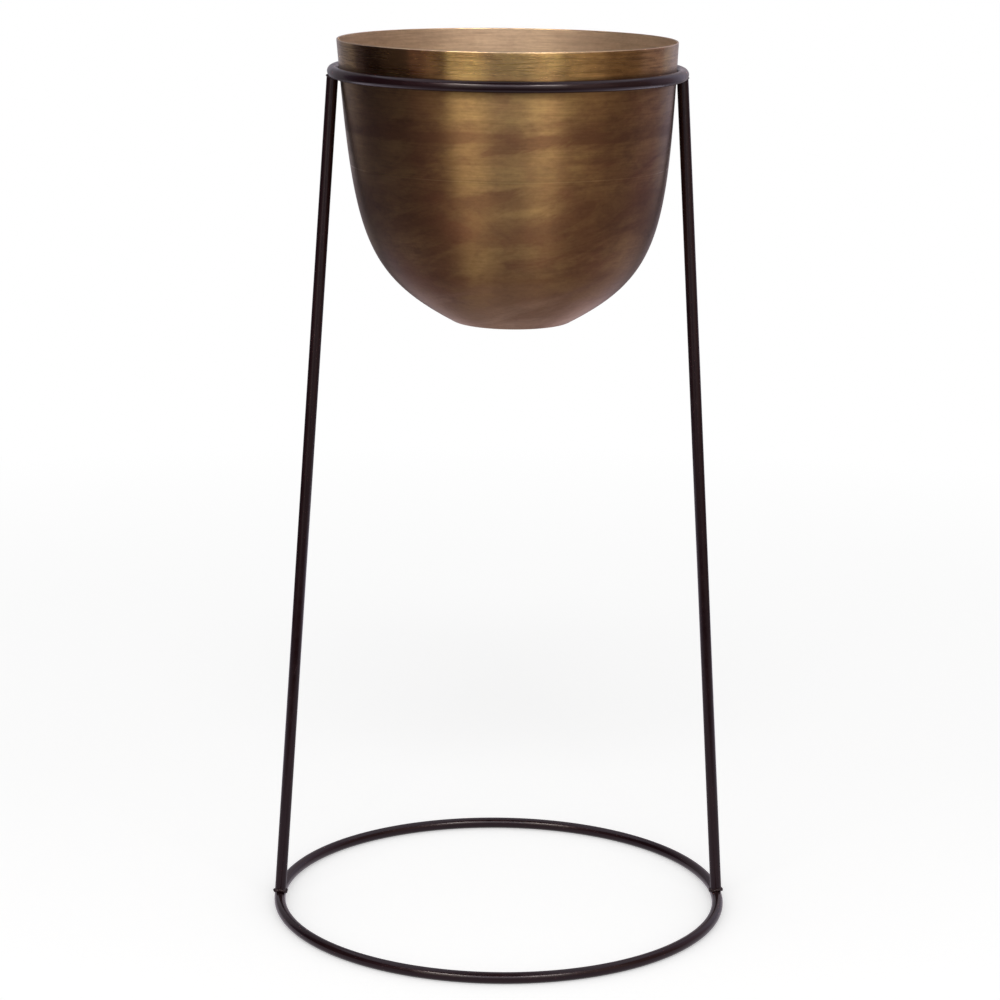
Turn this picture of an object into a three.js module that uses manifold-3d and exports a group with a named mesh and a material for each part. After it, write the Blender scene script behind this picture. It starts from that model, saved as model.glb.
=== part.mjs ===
// A single plant stand. A spun metal bowl hangs by its own taper in the top ring of a frame of
// round bar: two rings, two splayed legs and the welds that join them. The bowl lifts straight out.
// Millimetres, +Z up. The origin is on the floor, on the axis of the rings. The legs stand on the
// X axis, so the front of the stand faces -Y.
import * as THREE from "three";
import { mergeVertices } from "three/addons/utils/BufferGeometryUtils.js";
import Module from "manifold-3d";

// ---- Frame sizes ----
const BAR_DIAMETER = 8; // one size of round bar makes both rings and both legs
const BASE_RING_DIAMETER = 324; // outside, over the bar
const STAND_HEIGHT = 600; // floor to the top of the top ring
const LEG_SADDLE = 1; // how deep each leg end is ground to straddle a ring
const CLOSING_WELD = 3; // length of the butt weld that closes a ring
const FOOT_WELD_BEAD = 1.9; // radius of the bead round a leg's foot
const TOP_WELD_BEAD = 1.2; // radius of the bead round a leg's head

// ---- Bowl sizes ----
const RIM_DIAMETER = 232; // outside, at the rim
const BOWL_DEPTH = 192; // rim to the underside of the flat foot
const FOOT_DIAMETER = 80; // flat round foot
const SHEET = 1; // wall of the spun sheet
const SEAT_DEPTH = 21; // rim down to where the wall touches the top ring
const RIM_TAPER = 3.7; // degrees that the wall leans in, just under the rim
const RIM_PULL = 133; // how far down that lean carries before the wall turns in
const FOOT_SLOPE = 28.4; // degrees that the wall climbs as it leaves the foot
const FOOT_PULL = 71; // how far out that slope carries before the wall turns up
const FOOT_OFFSET = 4.3; // how far the foot lies to the right of the rings' axis

// ---- Fits ----
const WELD_GAP = 0.3; // between pieces that a weld holds together
const SEAT_GAP = 0.3; // between the bowl and the ring that it hangs in
const BEAD_TO_BOWL = 0.4; // least gap between a weld bead and the bowl

// ---- Fineness ----
const BAR_SIDES = 12;
const RING_STEPS = 96; // the bowl is turned in as many steps, so ring and bowl facets agree
const OUTLINE_STEPS = 12;
const RIM_STEPS = 4;
const BEAD_SIDES = 10;
const BEAD_STEPS = 32;
const TOOL_SIDES = 24; // sides of the round tools that cut one piece clear of another
const SEAT_SEARCHES = 40; // halvings that find the seat on the bowl's outline
const MERGE_DISTANCE = 1e-3;

const wasm = await Module();
wasm.setup();

// ---- Materials ----
const blackCoat = new THREE.MeshStandardMaterial({ color: 0x2e2427, roughness: 0.45, metalness: 0.35 });
const weldMetal = new THREE.MeshStandardMaterial({ color: 0x33282a, roughness: 0.6, metalness: 0.4 });
const agedBrass = new THREE.MeshStandardMaterial({ color: 0x8a6740, roughness: 0.36, metalness: 0.95 });
agedBrass.side = THREE.DoubleSide;

// ---- Helpers ----
function piece(name, geometry, material) {
  const mesh = new THREE.Mesh(geometry, material);
  mesh.name = name;
  return mesh;
}

// A closed geometry as a solid that can be cut, moved by a matrix on the way.
function solidFrom(geometry, matrix = new THREE.Matrix4()) {
  const bare = new THREE.BufferGeometry();
  bare.setAttribute("position", geometry.getAttribute("position").clone());
  bare.setIndex(geometry.index ? geometry.index.clone() : null);
  const merged = mergeVertices(bare.applyMatrix4(matrix), MERGE_DISTANCE);
  const vertProperties = merged.getAttribute("position").array;
  const triVerts = new Uint32Array(merged.index.array);
  return new wasm.Manifold(new wasm.Mesh({ numProp: 3, vertProperties, triVerts }));
}

function geometryFrom(solid) {
  const { vertProperties, triVerts } = solid.getMesh();
  const geometry = new THREE.BufferGeometry();
  geometry.setAttribute("position", new THREE.BufferAttribute(new Float32Array(vertProperties), 3));
  geometry.setIndex(new THREE.BufferAttribute(new Uint32Array(triVerts), 1));
  geometry.computeVertexNormals();
  return geometry;
}

// The corner radius of a polygon whose flats touch a circle of this radius.
const cornerRadius = (radius, sides) => radius / Math.cos(Math.PI / sides);

// Round bar standing on Z between two heights.
function uprightBar(radius, bottom, top, sides) {
  const corner = cornerRadius(radius, sides);
  const bar = new THREE.CylinderGeometry(corner, corner, top - bottom, sides, 1, false, Math.PI / sides);
  return bar.rotateX(Math.PI / 2).translate(0, 0, (bottom + top) / 2);
}

// ---- Bowl outline: one curve from the rim, in to the edge of the foot ----
const rimRadius = RIM_DIAMETER / 2;
const footRadius = FOOT_DIAMETER / 2;
const rimTaper = THREE.MathUtils.degToRad(RIM_TAPER);
const footSlope = THREE.MathUtils.degToRad(FOOT_SLOPE);
const bowlOutline = new THREE.CubicBezierCurve(
  new THREE.Vector2(rimRadius, 0),
  new THREE.Vector2(rimRadius - RIM_PULL * Math.sin(rimTaper), -RIM_PULL * Math.cos(rimTaper)),
  new THREE.Vector2(
    footRadius + FOOT_PULL * Math.cos(footSlope),
    FOOT_PULL * Math.sin(footSlope) - BOWL_DEPTH,
  ),
  new THREE.Vector2(footRadius, -BOWL_DEPTH),
);

// The side of the outline that faces away from the bowl, at a place from 0 (rim) to 1 (foot).
function outwardAt(place) {
  const along = bowlOutline.getTangent(place);
  return new THREE.Vector2(-along.y, along.x);
}

// The place on the outline at a depth below the rim, by halving.
function placeAtDepth(depth) {
  let above = 0;
  let below = 1;
  for (let search = 0; search < SEAT_SEARCHES; search += 1) {
    const middle = (above + below) / 2;
    if (-bowlOutline.getPoint(middle).y < depth) above = middle;
    else below = middle;
  }
  return (above + below) / 2;
}

// ---- Where the frame's lines run ----
const barRadius = BAR_DIAMETER / 2;
const seatPlace = placeAtDepth(SEAT_DEPTH);
const seatPoint = bowlOutline.getPoint(seatPlace);
const seatToBar = outwardAt(seatPlace).multiplyScalar(barRadius + SEAT_GAP);
const topRingRadius = seatPoint.x + seatToBar.x; // centreline, so that the bar just misses the wall
const topRingHeight = STAND_HEIGHT - barRadius;
const baseRingRadius = BASE_RING_DIAMETER / 2 - barRadius;
const rimHeight = topRingHeight - seatToBar.y + SEAT_DEPTH;

const legFoot = new THREE.Vector3(baseRingRadius, 0, barRadius);
const legHead = new THREE.Vector3(topRingRadius, 0, topRingHeight);
const legLength = legFoot.distanceTo(legHead);
const legLean = Math.atan2(legFoot.x - legHead.x, legHead.z - legFoot.z);

// ---- Rings: bar bent into a circle, with its ends left apart for the closing weld ----
class RingLine extends THREE.Curve {
  constructor(radius, slit) {
    super();
    this.radius = radius;
    this.halfSlit = slit / 2 / radius;
  }

  getPoint(share, target = new THREE.Vector3()) {
    const angle = Math.PI + this.halfSlit + share * 2 * (Math.PI - this.halfSlit);
    return target.set(this.radius * Math.cos(angle), this.radius * Math.sin(angle), 0);
  }
}

function barSection() {
  const corner = cornerRadius(barRadius, BAR_SIDES);
  const corners = Array.from({ length: BAR_SIDES }, (_, side) => {
    const angle = ((side + 0.5) / BAR_SIDES) * 2 * Math.PI;
    return new THREE.Vector2(corner * Math.cos(angle), corner * Math.sin(angle));
  });
  return new THREE.Shape(corners);
}

function ringBar(radius) {
  const slit = CLOSING_WELD + 2 * WELD_GAP;
  const extrudePath = new RingLine(radius, slit);
  return new THREE.ExtrudeGeometry(barSection(), { extrudePath, steps: RING_STEPS, bevelEnabled: false });
}

// The slug of weld metal between the ends of a ring, ground to the size of the bar.
function closingWeld() {
  const corner = cornerRadius(barRadius, BAR_SIDES);
  return new THREE.CylinderGeometry(corner, corner, CLOSING_WELD, BAR_SIDES, 1, false, Math.PI / BAR_SIDES);
}

function ring(name, radius, height) {
  const group = new THREE.Group();
  group.position.z = height;
  const weld = piece(`${name}_closing_weld`, closingWeld(), weldMetal);
  weld.position.x = -radius;
  group.add(piece(name, ringBar(radius), blackCoat), weld);
  return group;
}

// ---- Bowl: the outline, the same outline one sheet further in, and a rounded rim ----
function bowlProfile(growth = 0) {
  const outside = [];
  const inside = [];
  for (let step = 0; step <= OUTLINE_STEPS; step += 1) {
    const place = step / OUTLINE_STEPS;
    const point = bowlOutline.getPoint(place);
    const outward = outwardAt(place);
    outside.push(point.clone().addScaledVector(outward, growth));
    const inner = point.addScaledVector(outward, -SHEET);
    inside.push(inner.setY(Math.max(inner.y, SHEET - BOWL_DEPTH)));
  }
  return { outside, inside };
}

// A profile turned round Z, with its level circles slid to the right from the seat down.
function turned(profile) {
  const lean = new THREE.Matrix4().makeShear(0, 0, 0, 0, FOOT_OFFSET / (SEAT_DEPTH - BOWL_DEPTH), 0);
  const round = new THREE.LatheGeometry(profile, RING_STEPS).rotateX(Math.PI / 2);
  return round.translate(0, 0, SEAT_DEPTH).applyMatrix4(lean).translate(0, 0, -SEAT_DEPTH);
}

function bowlShell() {
  const { outside, inside } = bowlProfile();
  const rimCentre = outside[0].clone().add(inside[0]).divideScalar(2);
  const lip = Array.from({ length: RIM_STEPS - 1 }, (_, step) => {
    const angle = (Math.PI * (step + 1)) / RIM_STEPS - rimTaper;
    return new THREE.Vector2(Math.cos(angle), Math.sin(angle)).multiplyScalar(SHEET / 2).add(rimCentre);
  });
  const underFoot = new THREE.Vector2(0, -BOWL_DEPTH);
  const floor = new THREE.Vector2(0, SHEET - BOWL_DEPTH);
  return turned([underFoot, ...outside.reverse(), ...lip, ...inside, floor]);
}

// The bowl's outside, filled in and grown, to cut a bead clear of it.
function bowlEnvelope(growth) {
  const { outside } = bowlProfile(growth);
  const underFoot = new THREE.Vector2(0, outside.at(-1).y);
  const overRim = new THREE.Vector2(0, outside[0].y);
  return turned([underFoot, ...outside.reverse(), overRim]);
}

// ---- Legs and their beads, made once, standing on Z from the base ring's centreline ----
const sideFrame = new THREE.Group();
sideFrame.position.copy(legFoot);
sideFrame.rotation.y = -legLean;
sideFrame.updateMatrix();
const intoSide = sideFrame.matrix.clone().invert();

// What stands at this height on the stand's axis, as a tool in the leg's own frame.
function toolAt(geometry, height) {
  const place = new THREE.Matrix4().makeTranslation(0, 0, height);
  return solidFrom(geometry, intoSide.clone().multiply(place));
}

const clearBar = cornerRadius(barRadius + WELD_GAP, TOOL_SIDES);
const baseRingTool = toolAt(
  new THREE.TorusGeometry(baseRingRadius, clearBar, TOOL_SIDES, RING_STEPS),
  barRadius,
);
const topRingTool = toolAt(
  new THREE.TorusGeometry(topRingRadius, clearBar, TOOL_SIDES, RING_STEPS),
  topRingHeight,
);
const bowlTool = toolAt(bowlEnvelope(BEAD_TO_BOWL), rimHeight);
const legTool = solidFrom(uprightBar(barRadius + WELD_GAP, -BAR_DIAMETER, legLength + BAR_DIAMETER, TOOL_SIDES));

function legBar() {
  const end = barRadius - LEG_SADDLE;
  const bar = solidFrom(uprightBar(barRadius, end, legLength - end, BAR_SIDES));
  return geometryFrom(bar.subtract(baseRingTool).subtract(topRingTool));
}

// A bead of weld round the leg where it meets a ring.
function bead(radius, height, ringTool) {
  const round = new THREE.TorusGeometry(barRadius, radius, BEAD_SIDES, BEAD_STEPS).translate(0, 0, height);
  const clear = solidFrom(round).subtract(legTool).subtract(ringTool).subtract(bowlTool);
  return geometryFrom(clear);
}

const beadLift = barRadius + WELD_GAP;
const legGeometry = legBar();
const footBead = bead(FOOT_WELD_BEAD, beadLift, baseRingTool);
const topBead = bead(TOP_WELD_BEAD, legLength - beadLift, topRingTool);

function side(name, turn) {
  const stand = new THREE.Group();
  stand.rotation.z = turn;
  const leaning = sideFrame.clone();
  leaning.add(
    piece(`${name}_leg`, legGeometry, blackCoat),
    piece(`${name}_foot_weld`, footBead, weldMetal),
    piece(`${name}_top_weld`, topBead, weldMetal),
  );
  stand.add(leaning);
  return stand;
}

// ---- Assembly ----
const frame = new THREE.Group();
frame.add(
  ring("base_ring", baseRingRadius, barRadius),
  ring("top_ring", topRingRadius, topRingHeight),
  side("right", 0),
  side("left", Math.PI),
);

const bowl = piece("planter_bowl", bowlShell(), agedBrass);
bowl.position.z = rimHeight;

const plantStand = new THREE.Group();
plantStand.add(frame, bowl);

export default plantStand;
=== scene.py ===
# %% [markdown]
# # A hanging bowl plant stand
# A deep bowl, spun from brass sheet and aged brown, hangs by its own taper in the top ring of a
# slim frame of round bar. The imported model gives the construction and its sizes. This script gives
# each piece its fine shape and its finish, and then sets up a small studio with soft lights.
# Everything is in metres, with the floor at height 0 and the axis of both rings on the Z axis.

# %% Load the construction
import math

import bpy
from mathutils import Matrix, Vector


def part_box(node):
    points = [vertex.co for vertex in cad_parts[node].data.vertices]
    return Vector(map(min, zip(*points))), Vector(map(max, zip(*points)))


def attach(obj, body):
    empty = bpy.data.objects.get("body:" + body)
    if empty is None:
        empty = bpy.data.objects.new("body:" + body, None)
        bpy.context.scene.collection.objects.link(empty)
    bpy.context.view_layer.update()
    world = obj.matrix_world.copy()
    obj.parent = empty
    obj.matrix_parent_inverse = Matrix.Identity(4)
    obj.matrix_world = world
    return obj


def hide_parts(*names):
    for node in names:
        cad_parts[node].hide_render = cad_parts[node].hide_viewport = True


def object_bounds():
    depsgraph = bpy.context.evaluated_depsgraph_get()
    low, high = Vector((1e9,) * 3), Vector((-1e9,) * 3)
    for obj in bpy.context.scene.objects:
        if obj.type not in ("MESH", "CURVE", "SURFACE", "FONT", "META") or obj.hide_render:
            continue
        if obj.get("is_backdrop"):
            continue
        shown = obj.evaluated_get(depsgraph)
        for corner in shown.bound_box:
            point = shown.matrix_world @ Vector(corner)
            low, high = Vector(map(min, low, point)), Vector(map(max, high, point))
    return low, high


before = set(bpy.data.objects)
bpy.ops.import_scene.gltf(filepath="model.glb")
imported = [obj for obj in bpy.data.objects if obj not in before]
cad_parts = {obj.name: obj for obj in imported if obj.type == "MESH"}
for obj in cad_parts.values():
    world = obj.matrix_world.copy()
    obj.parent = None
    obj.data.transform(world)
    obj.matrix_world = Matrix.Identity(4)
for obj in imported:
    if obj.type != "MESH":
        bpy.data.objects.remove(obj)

construction_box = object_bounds()
print("pieces of the construction:", ", ".join(sorted(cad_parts)))

# %% [markdown]
# ## Sizes
# The bar and the sheet are the two stock sizes that the stand is made from. The other sizes repeat
# those of the construction, so each fine piece lies exactly where the plain one does. The seat is
# where the bowl's wall touches the top ring, and the ring's radius follows from it.

# %% The stand's own sizes
MM = 0.001
BAR = 4 * MM
BASE_RING = 158 * MM
TOP_RING_HEIGHT = 596 * MM
TOP_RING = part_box("top_ring")[1].y - BAR
SHEET = 1 * MM
RIM_RADIUS = 116 * MM
BOWL_DEPTH = 192 * MM
FOOT_RADIUS = 40 * MM
WALL_TAPER = math.radians(3.7)
FOOT_SLOPE = math.radians(28.4)
FOOT_OFFSET = 4.3 * MM
SEAT_DEPTH = 21 * MM
RIM_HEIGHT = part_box("planter_bowl")[0].z + BOWL_DEPTH
LEG_LEAN = math.atan2(BASE_RING - TOP_RING, TOP_RING_HEIGHT - BAR)
print(f"rings {BASE_RING / MM:.1f} and {TOP_RING / MM:.2f} mm to the middle of the bar")
print(f"rim {RIM_HEIGHT / MM:.1f} mm above the floor")
print(f"legs lean {math.degrees(LEG_LEAN):.2f} degrees")

# %% [markdown]
# ## Camera
# The photograph was taken with a long lens, a little above the rim, and from just left of the
# middle. These numbers come from fitting both rings, both legs and the rim to their outlines in the
# photograph. The legs stand exactly on the X axis here, so the camera is turned about the stand.


# %% Camera
def placed(name, data):
    """A new object in the scene."""
    thing = bpy.data.objects.new(name, data)
    bpy.context.scene.collection.objects.link(thing)
    return thing


FOCAL_PIXELS = 2943.5
PHOTO_PIXELS = 1000
CAMERA_PLACE = Vector((-18.1, -2014.6, 759.8)) * MM
LOOK_DOWN = 0.2256
LOOK_RIGHT = 0.00788
TILT = 0.0111
ROUND_THE_STAND = -0.0306

camera_data = bpy.data.cameras.new("camera")
camera_data.sensor_width = 36
camera_data.lens = FOCAL_PIXELS / PHOTO_PIXELS * camera_data.sensor_width
camera = placed("camera", camera_data)
camera.matrix_world = (
    Matrix.Rotation(ROUND_THE_STAND, 4, "Z")
    @ Matrix.Translation(CAMERA_PLACE)
    @ Matrix.Rotation(-LOOK_RIGHT, 4, "Z")
    @ Matrix.Rotation(math.pi / 2 - LOOK_DOWN, 4, "X")
    @ Matrix.Rotation(TILT, 4, "Z")
)
bpy.context.scene.camera = camera
print(f"lens {camera_data.lens:.1f} mm at {camera.matrix_world.translation.length:.2f} m")

# %% [markdown]
# ## Helpers for node trees
# Both the shapes and the finishes are made with nodes. A value that is handed to a node is either a
# plain number or the socket of another node, so one small function can set the first and join the
# second. The rest are short ways to write sums.


# %% Node helpers
def add(tree, kind, values=None, **settings):
    """A new node, with its settings made and its inputs set or joined."""
    node = tree.nodes.new(kind)
    for name, value in settings.items():
        setattr(node, name, value)
    for name, value in (values or {}).items():
        if isinstance(value, bpy.types.NodeSocket):
            tree.links.new(value, node.inputs[name])
        else:
            node.inputs[name].default_value = value
    return node


def calc(tree, operation, *values):
    """The result of one sum on one, two or three numbers."""
    return add(tree, "ShaderNodeMath", dict(enumerate(values)), operation=operation).outputs[0]


def share(tree, value, low, high, to_low=0.0, to_high=1.0):
    """How far a value is on the way from low to high, kept between the two ends."""
    ends = {"From Min": low, "From Max": high, "To Min": to_low, "To Max": to_high}
    return add(tree, "ShaderNodeMapRange", {"Value": value, **ends}).outputs[0]


def vector(tree, operation, *values, scale=None):
    """The result of one sum on vectors."""
    inputs = dict(enumerate(values))
    if scale is not None:
        inputs["Scale"] = scale
    node = add(tree, "ShaderNodeVectorMath", inputs, operation=operation)
    return node.outputs["Value" if operation == "LENGTH" else "Vector"]


def xyz(tree, x=0.0, y=0.0, z=0.0):
    return add(tree, "ShaderNodeCombineXYZ", {"X": x, "Y": y, "Z": z}).outputs[0]


def parts_of(tree, value):
    return add(tree, "ShaderNodeSeparateXYZ", {0: value}).outputs


print("node helpers ready")

# %% [markdown]
# ## Helpers for pieces
# A shape is a Geometry Nodes tree with named sizes. A piece hands its sizes to the tree, takes the
# finished mesh and drops the modifier, so that what is kept is a plain mesh at the origin. It then
# rides on its body of the construction and stands for the plain solid of the same piece.

# %% Piece helpers
KINDS = {float: "NodeSocketFloat", int: "NodeSocketInt"}


def shape_tree(name, sizes):
    """An empty Geometry Nodes tree and the sockets of its named sizes."""
    tree = bpy.data.node_groups.new(name, "GeometryNodeTree")
    for size, value in sizes.items():
        socket = tree.interface.new_socket(size, in_out="INPUT", socket_type=KINDS[type(value)])
        socket.default_value = value
    tree.interface.new_socket("Finish", in_out="INPUT", socket_type="NodeSocketMaterial")
    tree.interface.new_socket("Mesh", in_out="OUTPUT", socket_type="NodeSocketGeometry")
    return tree, add(tree, "NodeGroupInput").outputs


def end_tree(tree, mesh, finish, sharper_than=None):
    """Ends a tree: plain mesh, smooth faces, finish. Edges sharper than an angle stay crisp."""
    mesh = add(tree, "GeometryNodeRealizeInstances", {"Geometry": mesh}).outputs[0]
    mesh = add(tree, "GeometryNodeSetShadeSmooth", {"Geometry": mesh}, domain="FACE").outputs[0]
    if sharper_than:
        angle = add(tree, "GeometryNodeInputMeshEdgeAngle").outputs["Unsigned Angle"]
        crisp = calc(tree, "GREATER_THAN", angle, sharper_than)
        edges = {"Geometry": mesh, "Selection": crisp, "Shade Smooth": False}
        mesh = add(tree, "GeometryNodeSetShadeSmooth", edges, domain="EDGE").outputs[0]
    mesh = add(tree, "GeometryNodeSetMaterial", {"Geometry": mesh, "Material": finish}).outputs[0]
    add(tree, "NodeGroupOutput", {"Mesh": mesh})


def shaped(name, tree, values):
    """An object whose mesh is what the tree makes of these values."""
    piece = placed(name, bpy.data.meshes.new(name))
    modifier = piece.modifiers.new("shape", "NODES")
    modifier.node_group = tree
    for socket in tree.interface.items_tree:
        if socket.in_out == "INPUT" and socket.name in values:
            modifier[socket.identifier] = values[socket.name]
    return piece


def set_in_place(piece, body, node):
    """Keeps the finished mesh, and lets the piece stand for a node of the construction."""
    graph = bpy.context.evaluated_depsgraph_get()
    mesh = bpy.data.meshes.new_from_object(piece.evaluated_get(graph), depsgraph=graph)
    piece.modifiers.clear()
    piece.data = mesh
    mesh.name = piece.name
    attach(piece, body)
    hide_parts(node)
    mesh.calc_loop_triangles()
    size = [round(side / MM, 1) for side in piece.dimensions]
    print(f"{piece.name}: {len(mesh.loop_triangles)} triangles, {size} mm")


print("piece helpers ready")

# %% [markdown]
# ## Finish of the frame
# The bar is sprayed with a thin brown-black coat that dries to a satin sheen. Up close such a coat
# has a fine orange peel, and it is a little duller where it dried fast. Both come from noise on
# Object coordinates, which runs on unbroken from piece to piece, as one coat over a welded frame.


# %% Brown-black coat
def finish(name, colour, roughness, metallic=0.0):
    """A material, its tree and its surface shader, with the plain values set."""
    material = bpy.data.materials.new(name)
    material.use_nodes = True
    tree = material.node_tree
    surface = tree.nodes["Principled BSDF"]
    surface.inputs["Base Color"].default_value = (*colour, 1)
    surface.inputs["Roughness"].default_value = roughness
    surface.inputs["Metallic"].default_value = metallic
    return material, tree, surface


def noise(tree, place, scale, detail=2.0, rough=0.5, twist=0.0):
    values = {"Vector": place, "Scale": scale, "Detail": detail}
    values |= {"Roughness": rough, "Distortion": twist}
    return add(tree, "ShaderNodeTexNoise", values).outputs["Fac"]


def mixed(tree, amount, first, second, blend="MIX"):
    """Two colours, mixed by an amount that changes over the surface."""
    node = add(tree, "ShaderNodeMix", {"Factor": amount}, data_type="RGBA", blend_type=blend)
    for socket, value in ((node.inputs[6], first), (node.inputs[7], second)):
        if isinstance(value, bpy.types.NodeSocket):
            tree.links.new(value, socket)
        else:
            socket.default_value = (*value, 1)
    return node.outputs[2]


def bumped(tree, surface, height, distance):
    bump = add(tree, "ShaderNodeBump", {"Height": height, "Distance": distance, "Strength": 1.0})
    tree.links.new(bump.outputs[0], surface.inputs["Normal"])


DRIFT = {"scale": 22, "detail": 3}
DULLING = {"scale": 160, "detail": 3}
ORANGE_PEEL = {"scale": 900, "detail": 3}
DULLER, SHINIER = 0.09, 0.05
COAT_SPECULAR = 0.30
COAT_TINT = (1.0, 0.94, 1.0)


def coat(name, dark, light, roughness, peel):
    """Satin coat whose colour wanders between two browns, with a fine orange peel."""
    material, tree, surface = finish(name, dark, roughness)
    place = add(tree, "ShaderNodeTexCoord").outputs["Object"]
    drift = share(tree, noise(tree, place, **DRIFT), 0.35, 0.65)
    tree.links.new(mixed(tree, drift, dark, light), surface.inputs["Base Color"])
    ends = roughness - SHINIER, roughness + DULLER
    dulling = share(tree, noise(tree, place, **DULLING), 0.3, 0.7, *ends)
    tree.links.new(dulling, surface.inputs["Roughness"])
    bumped(tree, surface, noise(tree, place, **ORANGE_PEEL), peel)
    surface.inputs["Specular IOR Level"].default_value = COAT_SPECULAR
    surface.inputs["Specular Tint"].default_value = (*COAT_TINT, 1)
    return material


bar_coat = coat(
    "brown_black_coat",
    dark=(0.0105, 0.0033, 0.0042),
    light=(0.0145, 0.0053, 0.0060),
    roughness=0.18,
    peel=0.006 * MM,
)
weld_coat = coat(
    "coat_over_weld",
    dark=(0.0110, 0.0034, 0.0042),
    light=(0.0230, 0.0120, 0.0110),
    roughness=0.32,
    peel=0.06 * MM,
)
print("coat ready")

# %% [markdown]
# ## Rings
# A ring is one length of round bar, rolled to a circle until its ends nearly meet. In Geometry
# Nodes that is an arc with a circle swept along it. The arc's opening lies at the left, under the
# leg, and the sweep gets flat ends there for the closing weld to fill.

# %% Bent bar
RING_OPENING = 3.6 * MM
CRISP_END = math.radians(40)
bent_bar, size = shape_tree(
    "bent bar",
    {
        "Ring Radius": BASE_RING,
        "Bar Radius": BAR,
        "Opening": RING_OPENING,
        "Height": BAR,
        "Steps": 256,
        "Sides": 40,
    },
)
half_opening = calc(bent_bar, "DIVIDE", size["Opening"], 2.0)
half_opening = calc(bent_bar, "DIVIDE", half_opening, size["Ring Radius"])
arc = add(
    bent_bar,
    "GeometryNodeCurveArc",
    {
        "Resolution": size["Steps"],
        "Radius": size["Ring Radius"],
        "Start Angle": calc(bent_bar, "ADD", half_opening, math.pi),
        "Sweep Angle": calc(bent_bar, "MULTIPLY_ADD", half_opening, -2.0, 2 * math.pi),
    },
)
section = add(
    bent_bar,
    "GeometryNodeCurvePrimitiveCircle",
    {"Resolution": size["Sides"], "Radius": size["Bar Radius"]},
)
swept = add(
    bent_bar,
    "GeometryNodeCurveToMesh",
    {"Curve": arc.outputs[0], "Profile Curve": section.outputs[0], "Fill Caps": True},
)
lifted = add(
    bent_bar,
    "GeometryNodeTransform",
    {"Geometry": swept.outputs[0], "Translation": xyz(bent_bar, z=size["Height"])},
)
end_tree(bent_bar, lifted.outputs[0], size["Finish"], sharper_than=CRISP_END)
print(f"the ends of a ring's bar stand {RING_OPENING / MM} mm apart")

# %% [markdown]
# The bar of the fine rings is a hair thinner than the stock size, because the construction's bar
# has flat sides and its corners don't reach the full circle everywhere.

# %% Base ring and top ring
HAIR = 0.02 * MM
RINGS = (("base_ring", BASE_RING, BAR), ("top_ring", TOP_RING, TOP_RING_HEIGHT))
for ring, radius, height in RINGS:
    values = {"Ring Radius": radius, "Bar Radius": BAR - HAIR, "Height": height, "Finish": bar_coat}
    piece = shaped(f"{ring}_bar", bent_bar, values)
    set_in_place(piece, "frame", ring)

# %% [markdown]
# The closing weld was ground down to the bar after welding, so it is the same bent bar again, only
# a few millimetres long: an arc that is nearly all opening. Turned by half a circle, it lies in the
# gap. It is let into the ends of the bar a little, as melted metal is.

# %% Closing welds
CLOSING_WELD = 4.0 * MM
for ring, radius, height in RINGS:
    values = {
        "Ring Radius": radius,
        "Bar Radius": BAR - 2 * HAIR,
        "Opening": 2 * math.pi * radius - CLOSING_WELD,
        "Height": height,
        "Steps": 8,
        "Finish": weld_coat,
    }
    piece = shaped(f"{ring}_closing_seam", bent_bar, values)
    set_in_place(piece, "frame", f"{ring}_closing_weld")
    piece.data.transform(Matrix.Rotation(math.pi, 4, "Z"))

# %% [markdown]
# ## Legs
# A leg is straight bar whose ends are ground hollow, so that they straddle the rings. The tree
# sweeps a straight bar that is a little too long and cuts both rings out of its ends. The cutting
# rings are a third of a millimetre thicker than the real ones, which leaves room for weld metal.

# %% Straddling leg
WELD_ROOM = 0.3 * MM
SADDLE = 1 * MM
CUTTER_STEPS, CUTTER_SIDES = 256, 48
CRISP_SADDLE = math.radians(30)
leg_bar, size = shape_tree(
    "straddling leg",
    {
        "Base Radius": BASE_RING,
        "Base Height": BAR,
        "Top Radius": TOP_RING,
        "Top Height": TOP_RING_HEIGHT,
        "Bar Radius": BAR,
        "Straddle": SADDLE,
        "Room": WELD_ROOM,
        "Side": 1.0,
        "Sides": 48,
    },
)


def circle_of(tree, steps, radius):
    values = {"Resolution": steps, "Radius": radius}
    return add(tree, "GeometryNodeCurvePrimitiveCircle", values).outputs[0]


def ring_cutter(tree, radius, height, thickness):
    """The solid of one ring, for cutting the ends of a leg."""
    line = circle_of(tree, CUTTER_STEPS, radius)
    section = circle_of(tree, CUTTER_SIDES, thickness)
    swept = {"Curve": line, "Profile Curve": section}
    solid = add(tree, "GeometryNodeCurveToMesh", swept).outputs[0]
    place = {"Geometry": solid, "Translation": xyz(tree, z=height)}
    return add(tree, "GeometryNodeTransform", place).outputs[0]


def leg_end(radius, height):
    """Where the leg's axis meets the middle of a ring's bar."""
    return xyz(leg_bar, x=calc(leg_bar, "MULTIPLY", radius, size["Side"]), z=height)


foot = leg_end(size["Base Radius"], size["Base Height"])
head = leg_end(size["Top Radius"], size["Top Height"])
along = vector(leg_bar, "NORMALIZE", vector(leg_bar, "SUBTRACT", head, foot))
reach = calc(leg_bar, "SUBTRACT", size["Bar Radius"], size["Straddle"])
short = vector(leg_bar, "SCALE", along, scale=reach)
line = add(
    leg_bar,
    "GeometryNodeCurvePrimitiveLine",
    {"Start": vector(leg_bar, "ADD", foot, short), "End": vector(leg_bar, "SUBTRACT", head, short)},
)
section = circle_of(leg_bar, size["Sides"], size["Bar Radius"])
straight = add(
    leg_bar,
    "GeometryNodeCurveToMesh",
    {"Curve": line.outputs[0], "Profile Curve": section, "Fill Caps": True},
)
thick = calc(leg_bar, "ADD", size["Bar Radius"], size["Room"])
cut = add(
    leg_bar,
    "GeometryNodeMeshBoolean",
    {"Mesh 1": straight.outputs[0]},
    operation="DIFFERENCE",
    solver="MANIFOLD",
)
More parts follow.
